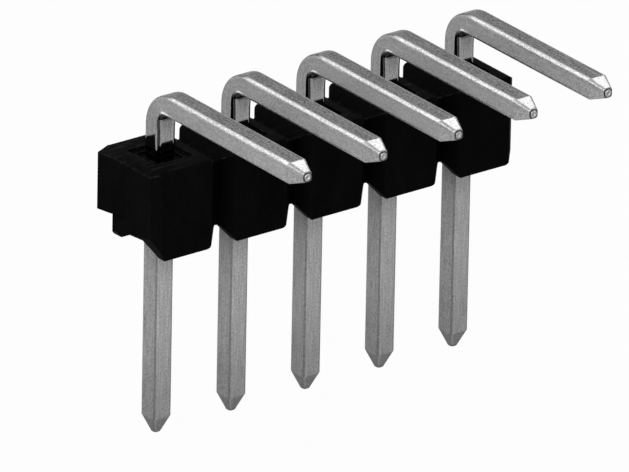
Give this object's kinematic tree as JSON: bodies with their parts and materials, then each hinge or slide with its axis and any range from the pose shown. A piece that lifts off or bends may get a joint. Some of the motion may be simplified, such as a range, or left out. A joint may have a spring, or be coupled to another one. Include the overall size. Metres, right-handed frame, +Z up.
{
  "type": "right-angle pin header",
  "caption": "Single-row right-angle pin header: black snap-off insulator strip with square tin-plated wire pins bent over to one side.",
  "frame": {"origin": "middle of the row of pins, on the plane that the insulator's stand-off feet sit on", "axes": "+X along the row, -Y the way the bent arms point, +Z up away from the board"},
  "size_m": [0.0125, 0.0079, 0.0103],
  "materials": {
    "insulator": "satin black moulded thermoplastic",
    "plated_wire": "dull grey tin plate over brass wire, with fine drawing marks along it"
  },
  "bodies": {
    "root": {"insulator": "insulator", "pin_1": "plated_wire", "pin_2": "plated_wire", "pin_3": "plated_wire", "pin_4": "plated_wire", "pin_5": "plated_wire"}
  },
  "joints": []
}
